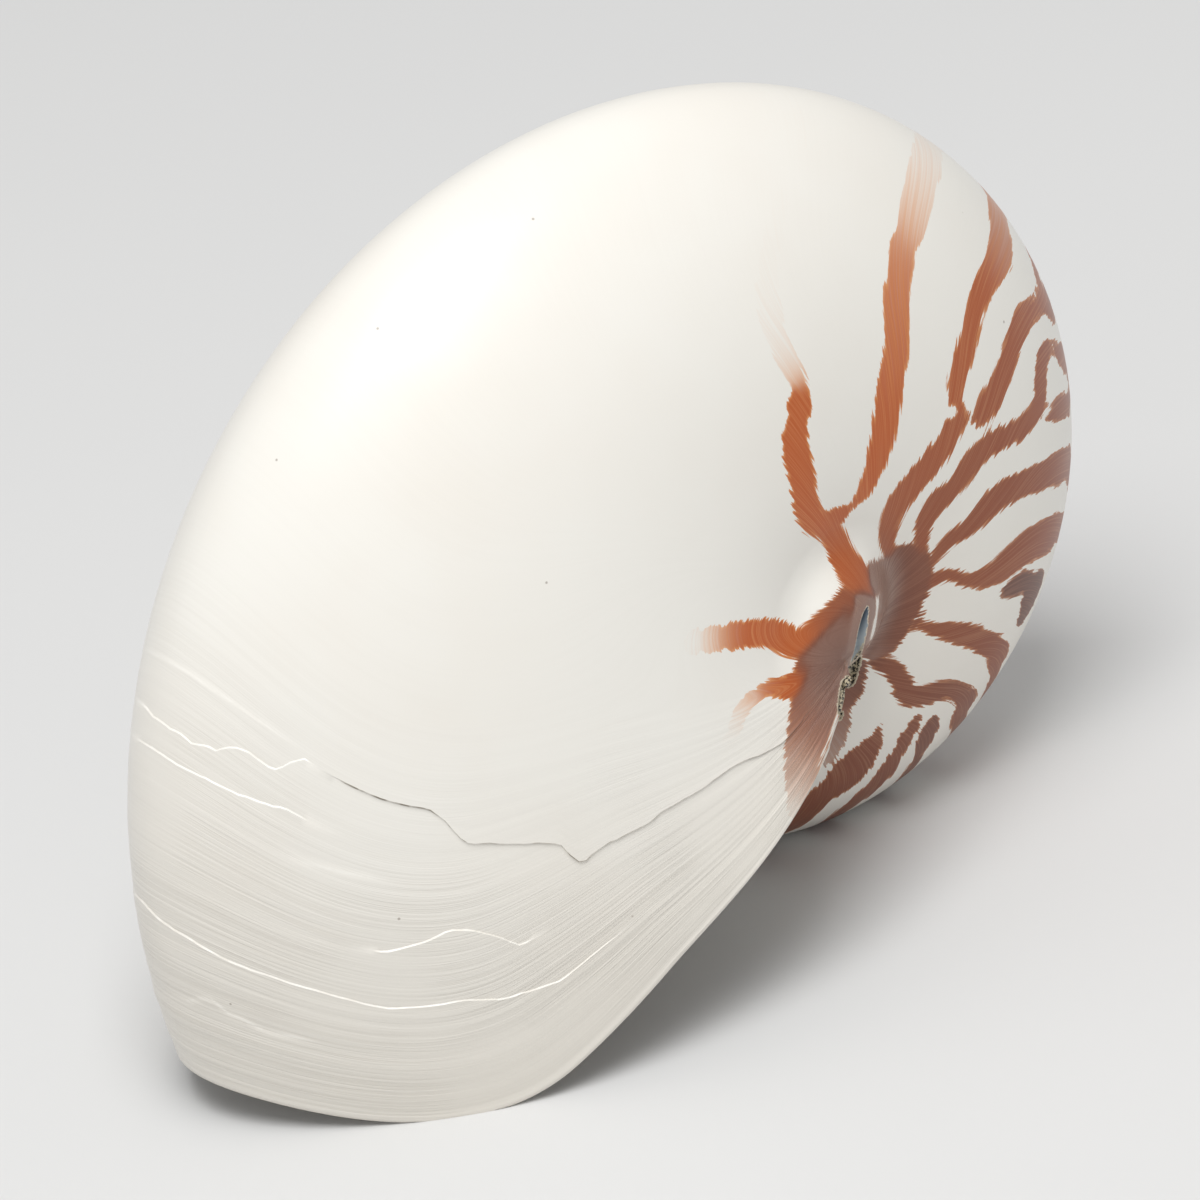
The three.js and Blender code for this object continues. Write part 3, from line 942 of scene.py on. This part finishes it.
def stripe_marks(tint, pixels):
    """A stripe as points on the shell, each with its half width, strength and tint."""
    line = evenly(cut_corners(np.array(pixels, float)), PIXEL_STEP)
    hits = [on_shell([spot]) for spot in line[:, :2]]
    line = line[[len(hit) > 0 for hit in hits]]
    points = np.concatenate([hit for hit in hits if len(hit)])
    normals = np.array([tuple(shell_tree.find_nearest(point)[1]) for point in points])
    aside = np.cross(normals, np.gradient(points, axis=0))
    aside /= np.linalg.norm(aside, axis=1)[:, None]
    ahead_seen = np.gradient(line[:, :2], axis=0)
    ahead_seen /= np.linalg.norm(ahead_seen, axis=1)[:, None]
    aside_seen = aside @ np.array(camera.matrix_world.to_3x3())[:, :2] * (1, -1)
    shown = np.abs(aside_seen[:, 0] * ahead_seen[:, 1] - aside_seen[:, 1] * ahead_seen[:, 0])
    halves = line[:, 2] * PIXEL_SIZE / 2 * WIDER / shown.clip(1 / STEEPEST, 1)
    marks = np.column_stack([points, halves, line[:, 3], np.full(len(line), tint)])
    growth, share = growth_of(points)
    outermost = np.abs(share).argmax()
    if LEAVES_VIEW < -share[outermost] and outermost in (0, len(marks) - 1):
        places = np.linspace(-share[outermost], 1, ONWARD)
        onward = np.repeat(marks[outermost][None], ONWARD, 0)
        swing = np.sin(np.linspace(0, math.pi, ONWARD)) * dice.uniform(-ONWARD_SWING, ONWARD_SWING)
        onward[:, :3] = surface(growth[outermost] + swing, places)
        onward[:, 3] = np.median(halves)
        marks = np.concatenate([marks, onward[1:]])
    return marks


shell_tree = BVHTree.FromPolygons(
    [v.co for v in shell_mesh.vertices], [tuple(p.vertices) for p in shell_mesh.polygons]
)
near_marks = {name: stripe_marks(tint, pixels) for name, (tint, pixels) in STRIPES.items()}
print({name: len(marks) for name, marks in near_marks.items()})

# %% [markdown]
# The far side gets the same stripes, mirrored. Each one is turned a little to and fro about the axis and
# changes its width, so that the two sides aren't copies.

# %% Stripes of the far side
FAR_SWING = 2.5  # degrees
FAR_WIDTH = 0.2  # share by which its width comes and goes
FAR_FADE = (1 * MM, 12 * MM)  # from the middle plane, where both sides have to meet


def far_twin(marks):
    """A stripe's mirror image, swung about the axis along its length."""
    twin = marks.copy()
    phase, rate = dice.uniform(0, 6), dice.uniform(0.15, 0.3)
    along = np.arange(len(marks))
    fade_in = smoothstep(np.abs(marks[:, 1]), *FAR_FADE)
    swing = np.radians(FAR_SWING * fade_in * np.sin(rate * along + phase))
    x, z = marks[:, 0] - AXIS.x, marks[:, 2] - AXIS.z
    twin[:, 0] = AXIS.x + x * np.cos(swing) - z * np.sin(swing)
    twin[:, 1] = -marks[:, 1]
    twin[:, 2] = AXIS.z + x * np.sin(swing) + z * np.cos(swing)
    twin[:, 3] *= 1 + FAR_WIDTH * fade_in * np.sin(1.7 * rate * along - phase)
    return twin


all_marks = np.concatenate([*near_marks.values(), *map(far_twin, near_marks.values())])
print(len(all_marks), "marks on both sides")

# %% [markdown]
# Every vertex now learns how deep it lies inside the nearest stripe. Distance is measured in millimetres from
# the marks, so a stripe keeps its width however fine the mesh is.

# %% Distances stored on the mesh
BLOCK = 8000  # vertices measured at a time, to spare memory
SOFT_BORDER = 0.35  # mm over which two stripes blend their colours


def deepest(marks):
    """How deep in mm each vertex lies inside the marks (negative outside), with its strength and tint."""
    here, there = (spots / MM).astype(np.float32), (marks[:, :3] / MM).astype(np.float32)
    depth, kinds = np.empty(len(spots)), np.empty((len(spots), 2))
    for start in range(0, len(spots), BLOCK):
        block = here[start:start + BLOCK]
        squared = (block ** 2).sum(1)[:, None] + (there ** 2).sum(1)[None] - 2 * block @ there.T
        inside = marks[None, :, 3] / MM - np.sqrt(squared.clip(0))
        deep = inside.max(1)
        depth[start:start + BLOCK] = deep
        share_of = np.exp((inside - deep[:, None]) / SOFT_BORDER)
        kinds[start:start + BLOCK] = share_of @ marks[:, 4:6] / share_of.sum(1)[:, None]
    return depth, kinds


def store(name, values):
    """Keep one number for each vertex, under a name that materials can read."""
    attribute = shell_mesh.attributes.new(name, "FLOAT", "POINT")
    attribute.data.foreach_set("value", np.asarray(values, dtype=np.float32))


depth, kinds = deepest(all_marks)
store("stripe", depth.clip(-4, 4))
store("strength", kinds[:, 0])
print(int((depth > 0).sum()), "of", len(spots), "vertices lie inside a stripe")

# %% [markdown]
# Near the axis the colours change. The stripes turn from orange to mauve, the fan lies under a milky glaze,
# and the slit is clean above a line in the picture and full of crumbs below it. Three more numbers say where.

# %% Colours round the axis
GLAZED_TINTS = (0.55, 0.85)
GLAZE_FADES = (9 * MM, 17 * MM)  # from the axis
MAUVE_FADES = (6 * MM, 18 * MM)
MAUVER = 0.3
CRUST_EDGE = np.array([(872, 632), (845, 670)], float)  # pixels


def pixels_of(points):
    """The pixels at which points of the near side are seen."""
    local = (points - np.array(camera.matrix_world.translation)) @ np.array(camera.matrix_world.to_3x3())
    return PICTURE / 2 + LENS / SENSOR * PICTURE * local[:, :2] / -local[:, 2:] * (1, -1)


from_axis = np.hypot(spots[:, 0] - AXIS.x, spots[:, 2] - AXIS.z)
store("glaze", smoothstep(kinds[:, 1], *GLAZED_TINTS) * (1 - smoothstep(from_axis, *GLAZE_FADES)))
store("tint", np.clip(kinds[:, 1] + MAUVER * (1 - smoothstep(from_axis, *MAUVE_FADES)), 0, 1))
seen_at = pixels_of(np.where([[False, True, False]], -np.abs(spots), spots))
edge_along = CRUST_EDGE[1] - CRUST_EDGE[0]
edge_along /= np.linalg.norm(edge_along)
beyond_edge = (seen_at - CRUST_EDGE[0]) @ np.array([-edge_along[1], edge_along[0]])
store("crust", -beyond_edge * PIXEL_SIZE / MM)
print("the glaze covers", int((from_axis < GLAZE_FADES[0]).sum()), "vertices fully")

# %% [markdown]
# The cracks' own rows carry numbers too. One is full on the two rows beside the step and nothing on the next
# ones, so the broken edge can be drawn as a hair line. The other says what that line looks like: a painted
# highlight where its edge would catch the light, and painted shade where the step would lie in shadow.

# %% Hair lines along the cracks
LINE_WIDTH = 0.16  # degrees of growth
FULL_STEP = 0.24 * MM  # a step of this height shows in full
edge, glint = np.zeros(len(spots)), np.zeros(len(spots))
for number, (guide, step) in enumerate(zip(guides, steps)):
    here = np.interp(vertex_across, ACROSS, guide)
    strength = np.interp(vertex_across, ACROSS, np.abs(step)) / FULL_STEP
    # the main crack gets painted shade up to where its step turns over, and a painted highlight beyond it; the
    # other cracks get a painted highlight
    dark = 1 - smoothstep(vertex_across, *MAIN_FLIPS) if guide is guides[1] else 0
    close = np.exp(-(((vertex_growth - here) / LINE_WIDTH) ** 2))
    nearer = close > edge
    edge = np.where(nearer, close, edge)
    glint = np.where(nearer, (2 * dark - 1) * strength ** 0.5, glint)
store("edge", edge)
store("glint", glint)
print("glint from", round(float(glint.min()), 2), "to", round(float(glint.max()), 2))

# %% [markdown]
# ## Materials
# A material is a chain of small steps, so a short helper writes each one: what it does, and what goes in.

# %% Helper for the nodes
class Recipe:
    """The nodes of one material."""

    def __init__(self, name):
        self.material = bpy.data.materials.new(name)
        self.material.use_nodes = True
        self.tree = self.material.node_tree
        self.shader = self.tree.nodes["Principled BSDF"]

    def add(self, kind, inputs=(), **settings):
        """A node with its settings, whose inputs are numbers or the outputs of other nodes."""
        node = self.tree.nodes.new("ShaderNode" + kind)
        for name, value in settings.items():
            setattr(node, name, value)
        for key, value in dict(inputs).items():
            if isinstance(value, bpy.types.NodeSocket):
                self.tree.links.new(value, node.inputs[key])
            else:
                node.inputs[key].default_value = value
        return node

    def read(self, name):
        """A number stored on the mesh."""
        return self.add("Attribute", attribute_name=name).outputs["Fac"]

    def math(self, operation, *values):
        return self.add("Math", enumerate(values), operation=operation).outputs[0]

    def ramp(self, value, start, end, low=0.0, high=1.0):
        """A smooth ramp of a number from low to high, between start and end."""
        inputs = {0: value, 1: start, 2: end, 3: low, 4: high}
        return self.add("MapRange", inputs, interpolation_type="SMOOTHSTEP").outputs[0]

    def noise(self, vector, scale, detail=2.0, roughness=0.5):
        inputs = {"Vector": vector, "Scale": scale, "Detail": detail, "Roughness": roughness}
        return self.add("TexNoise", inputs).outputs["Fac"]

    def mix(self, factor, first, second, blend="MIX"):
        node = self.add("Mix", {0: factor, 6: first, 7: second}, data_type="RGBA", blend_type=blend)
        return node.outputs[2]

    def vector(self, x, y, z=0.0):
        return self.add("CombineXYZ", {0: x, 1: y, 2: z}).outputs[0]

    def finish(self, inputs):
        """Set or link the shader's own sockets."""
        for name, value in inputs.items():
            socket = self.shader.inputs[name]
            if isinstance(value, bpy.types.NodeSocket):
                self.tree.links.new(value, socket)
            else:
                socket.default_value = value
        return self.material


print("a recipe has", len([name for name in vars(Recipe) if not name.startswith("_")]), "helpers")

# %% [markdown]
# ## Porcelain
# The outer layer is white with a warm breath in it, and satin, not glassy. What makes it look grown is the
# fine relief: growth lines by the hundred, closest at the lip. They come from noise that is read on the UV map
# and stretched: quick along growth, slow across the flank.

# %% White ground
PLAIN_WHITE = (0.875, 0.855, 0.80, 1)
WARM_WHITE = (0.85, 0.815, 0.75, 1)
LIP_WHITE = (0.76, 0.715, 0.64, 1)
LINE_GREY = (0.64, 0.60, 0.53, 1)
SPECK = (0.25, 0.2, 0.16, 1)


def growth_noise(recipe, along_growth, along_flank, detail, roughness):
    """Noise on the chart of the growth lines, with so many features to a degree and to a share."""
    chart = recipe.add("SeparateXYZ", {0: recipe.add("UVMap", uv_map="lines").outputs[0]}).outputs
    stretched = recipe.vector(recipe.math("MULTIPLY", chart[0], along_growth * UV_GROWTH),
                              recipe.math("MULTIPLY", chart[1], along_flank))
    return recipe.noise(stretched, 1.0, detail, roughness)


def white_ground(recipe, solid_place, growth, fine_lines, near_lip, warm):
    """White with a warm breath, greyer towards the lip, with growth lines and a few specks."""
    white = recipe.mix(recipe.ramp(warm, 0.35, 0.75), PLAIN_WHITE, WARM_WHITE)
    white = recipe.mix(recipe.ramp(growth, -45.0, -2.0, 0.0, 0.65), white, LIP_WHITE)
    line_shade = recipe.math("MULTIPLY", recipe.ramp(fine_lines, 0.56, 0.40), near_lip)
    white = recipe.mix(recipe.math("MULTIPLY", line_shade, 0.30), white, LINE_GREY)
    specks = recipe.add("TexVoronoi", {"Vector": solid_place, "Scale": 170.0}, feature="F1")
    chance = recipe.add("SeparateColor", {0: specks.outputs["Color"]}).outputs[0]
    few = recipe.math("GREATER_THAN", chance, 0.72)
    dot = recipe.math("MULTIPLY", few, recipe.ramp(specks.outputs["Distance"], 0.045, 0.02))
    return recipe.mix(recipe.math("MULTIPLY", dot, 0.6), white, SPECK)


print("the ground goes from", PLAIN_WHITE[:3], "to", LIP_WHITE[:3], "at the lip")

# %% [markdown]
# The stripes use the stored depth. Noise of the same stretched kind moves their edges, so they fray along the
# growth lines as pigment does, and streaks run through them. Each colour below is a pair: the first is for the
# orange stripes, and the second for the mauve ones near the pit.

# %% Stripes over the white
FRINGE = ((0.70, 0.27, 0.08, 1), (0.44, 0.18, 0.085, 1))
CORE = ((0.53, 0.105, 0.012, 1), (0.150, 0.056, 0.036, 1))
PALE_STREAK = ((0.70, 0.28, 0.10, 1), (0.32, 0.155, 0.10, 1))
WASHED_OUT = ((0.80, 0.36, 0.13, 1), (0.46, 0.29, 0.23, 1))
MILKY_BROWN = (0.40, 0.27, 0.215, 1)


def stripes_over(recipe, white):
    """The stripes laid over the white."""
    fray = growth_noise(recipe, 0.75, 6.0, 4.0, 0.65)
    streak = growth_noise(recipe, 3.2, 3.0, 2.0, 0.6)
    depth = recipe.math("ADD", recipe.read("stripe"), recipe.ramp(fray, 0.3, 0.7, -0.42, 0.46))
    strength = recipe.read("strength")
    cover = recipe.math("ADD", strength, recipe.ramp(streak, 0.3, 0.7, -0.07, 0.07))
    mask = recipe.math("MULTIPLY", recipe.ramp(depth, -0.04, 0.08), recipe.ramp(cover, 0.0, 0.9))
    tint = recipe.read("tint")
    brown = recipe.mix(recipe.ramp(depth, 0.0, 0.5), recipe.mix(tint, *FRINGE), recipe.mix(tint, *CORE))
    brown = recipe.mix(recipe.ramp(streak, 0.46, 0.66, 0.0, 0.5), brown, recipe.mix(tint, *PALE_STREAK))
    brown = recipe.mix(recipe.ramp(strength, 0.3, 0.95), recipe.mix(tint, *WASHED_OUT), brown)
    glazed = recipe.math("MULTIPLY", recipe.ramp(recipe.read("glaze"), 0.1, 0.9),
                         recipe.ramp(streak, 0.42, 0.6, 0.25, 0.8))
    brown = recipe.mix(glazed, brown, MILKY_BROWN)
    return recipe.mix(mask, white, brown)


print("the stripes' core goes from", CORE[0][:3], "to", CORE[1][:3])

# %% [markdown]
# Over the stripes come the cracks' hair lines, painted highlight or painted shade broken up by noise, and last
# the slit with its pale rim. Its upper part shows the blue-grey pearl of the pit, darkened by painted shade,
# and crumbs of black film and lime fill the lower part.

# %% Cracks and the slit
# a crack's painted highlight, and the painted shade below its step
CRACK_HIGHLIGHT = (0.97, 0.96, 0.92, 1)
CRACK_SHADE = (0.27, 0.22, 0.16, 1)
BLACK_FILM, LIME_CRUMB = (0.016, 0.014, 0.012, 1), (0.50, 0.43, 0.30, 1)
# the pit's blue-grey pearl; the first is darkened as painted shade of the deep pit
SHADED_PEARL, PALE_PEARL = (0.045, 0.07, 0.105, 1), (0.33, 0.37, 0.39, 1)
SLIT_RIM = (0.62, 0.53, 0.40, 1)


def cracked(recipe, solid_place, colour):
    """Hair lines along the cracks, as painted highlight and painted shade, laid over a colour."""
    broken = recipe.ramp(recipe.noise(solid_place, 420.0, 2.0, 0.6), 0.40, 0.60, 0.05, 1.0)
    crack = recipe.math("MULTIPLY", recipe.ramp(recipe.read("edge"), 0.70, 0.88), broken)
    glint = recipe.read("glint")
    dimmed = recipe.math("MULTIPLY", glint, -1.0)
    bright = recipe.math("MULTIPLY", crack, recipe.ramp(dimmed, 0.1, 1.0, 0.0, 0.35))
    dark = recipe.math("MULTIPLY", crack, recipe.ramp(glint, 0.1, 1.0, 0.0, 0.9))
    return recipe.mix(dark, recipe.mix(bright, colour, CRACK_HIGHLIGHT), CRACK_SHADE)


def slit_filled(recipe, solid_place, colour):
    """The slit's rim, pearl with painted shade of the pit, and crumbs, laid over a colour."""
    crumbs = recipe.noise(solid_place, 3000.0, 2.0, 0.6)
    slit = recipe.math("ADD", recipe.read("slit"), recipe.ramp(crumbs, 0.3, 0.7, -0.10, 0.10))
    beyond = recipe.math("ADD", recipe.read("crust"), recipe.ramp(crumbs, 0.3, 0.7, -0.25, 0.25))
    crust = recipe.mix(recipe.ramp(crumbs, 0.45, 0.56), BLACK_FILM, LIME_CRUMB)
    # the pearl goes over to painted shade towards the top of the slit, away from the crumbs
    pearl = recipe.mix(recipe.ramp(recipe.read("crust"), -2.6, -0.1), SHADED_PEARL, PALE_PEARL)
    filling = recipe.mix(recipe.ramp(beyond, -0.1, 0.1), pearl, crust)
    colour = recipe.mix(recipe.ramp(slit, -0.24, -0.14), colour, SLIT_RIM)
    return recipe.mix(recipe.ramp(slit, -0.10, 0.0), colour, filling)


print("the slit's crumbs are about", round(1 / 3000 / MM, 2), "mm wide")

# %% [markdown]
# The outer layer brings these together. Its gloss varies a little with the warm patches, and a bump adds the
# growth lines that are too fine for the mesh.

# %% Porcelain
def porcelain():
    recipe = Recipe("porcelain")
    chart = recipe.add("SeparateXYZ", {0: recipe.add("UVMap", uv_map="growth").outputs[0]})
    growth = recipe.math("MULTIPLY", chart.outputs[0], UV_GROWTH)
    solid_place = recipe.add("TexCoord").outputs["Object"]
    fine_lines = growth_noise(recipe, 3.6, 1.8, 3.0, 0.65)
    broad_lines = growth_noise(recipe, 0.55, 1.1, 5.0, 0.68)
    patches = recipe.noise(solid_place, 34.0, 2.0, 0.5)
    near_lip = recipe.math("MULTIPLY", recipe.ramp(growth, -52.0, -6.0, 0.07, 1.1),
                           recipe.ramp(patches, 0.40, 0.60, 0.22, 1.0))
    warm = recipe.noise(solid_place, 22.0, 3.0, 0.6)
    colour = white_ground(recipe, solid_place, growth, fine_lines, near_lip, warm)
    colour = stripes_over(recipe, colour)
    colour = cracked(recipe, solid_place, colour)
    colour = slit_filled(recipe, solid_place, colour)
    lines = recipe.math("ADD", recipe.math("MULTIPLY", fine_lines, 0.40), broad_lines)
    height = recipe.math("MULTIPLY", lines, near_lip)
    bump = recipe.add("Bump", {"Strength": 0.8, "Distance": 0.0004, "Height": height})
    return recipe.finish({
        "Base Color": colour,
        "Roughness": recipe.ramp(warm, 0.3, 0.7, 0.30, 0.42),
        "Normal": bump.outputs[0],
        "Specular IOR Level": 0.4,
        "Coat Weight": 0.06,
        "Coat Roughness": 0.2,
    })


shell_mesh.materials.clear()
shell_mesh.materials.append(porcelain())
print("porcelain has", len(shell_mesh.materials[0].node_tree.nodes), "nodes")

# %% [markdown]
# ## Mother of pearl
# Inside, and on the septum, the shell is nacre: thin plates that split the light into pink and green. The
# thin film of the shader does just that, so the colour moves with the light and needs no painting.

# %% Nacre
def nacre():
    recipe = Recipe("nacre")
    solid_place = recipe.add("TexCoord").outputs["Object"]
    cloud = recipe.noise(solid_place, 30.0, 3.0, 0.6)
    colour = recipe.mix(recipe.ramp(cloud, 0.3, 0.7), (0.78, 0.76, 0.72, 1), (0.70, 0.66, 0.64, 1))
    ripple = recipe.noise(recipe.add("UVMap", uv_map="growth").outputs[0], 24.0, 3.0, 0.5)
    bump = recipe.add("Bump", {"Strength": 0.3, "Distance": 0.0003, "Height": ripple})
    return recipe.finish({
        "Base Color": colour,
        "Roughness": recipe.ramp(cloud, 0.3, 0.7, 0.22, 0.34),
        "Normal": bump.outputs[0],
        "Metallic": 0.25,
        "Thin Film Thickness": 420.0,
        "Thin Film IOR": 1.55,
    })


shell_mesh.materials.append(nacre())
print("materials", [material.name for material in shell_mesh.materials])

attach(shell, "root")
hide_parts("nautilus_shell")

# %% [markdown]
# ## Floor and light
# The shell stands on a plain near-white table. A large soft lamp high on the left gives its broad satin glow
# and lets its right edge fall into shade, and a white room fills in.

# %% Floor, lamp and room
floor_sheet = bmesh.new()
bmesh.ops.create_grid(floor_sheet, x_segments=1, y_segments=1, size=4)
floor = bpy.data.objects.new("floor", bpy.data.meshes.new("floor"))
floor_sheet.to_mesh(floor.data)
floor_sheet.free()
bpy.context.scene.collection.objects.link(floor)
floor_recipe = Recipe("pale table")
cloth = floor_recipe.noise(floor_recipe.add("TexCoord").outputs["Object"], 6.0, 2.0, 0.5)
floor.data.materials.append(floor_recipe.finish({
    "Base Color": floor_recipe.mix(cloth, (0.69, 0.69, 0.685, 1), (0.72, 0.72, 0.715, 1)),
    "Roughness": 0.9,
}))


def soft_lamp(name, place, aim, size, power):
    """A square area light of a size in metres, turned to what it lights."""
    data = bpy.data.lights.new(name, "AREA")
    data.size = size
    data.energy = power
    lamp = bpy.data.objects.new(name, data)
    lamp.location = place
    lamp.rotation_euler = (Vector(place) - Vector(aim)).to_track_quat("Z", "Y").to_euler()
    bpy.context.scene.collection.objects.link(lamp)
    return lamp


MIDDLE = (0, 0, 0.06)
lamps = [soft_lamp("window above on the left", (-0.31, -0.39, 1.36), MIDDLE, 0.8, 15.0)]
room = bpy.data.worlds.new("white room")
room.use_nodes = True
room.node_tree.nodes["Background"].inputs["Color"].default_value = (1, 1, 1, 1)
room.node_tree.nodes["Background"].inputs["Strength"].default_value = 0.5
bpy.context.scene.world = room
bpy.context.scene.view_settings.view_transform = "Standard"
print(len(lamps), "lamps")

# %% [markdown]
# ## The end
# Last, the view layer is brought up to date.

# %% Update
bpy.context.view_layer.update()
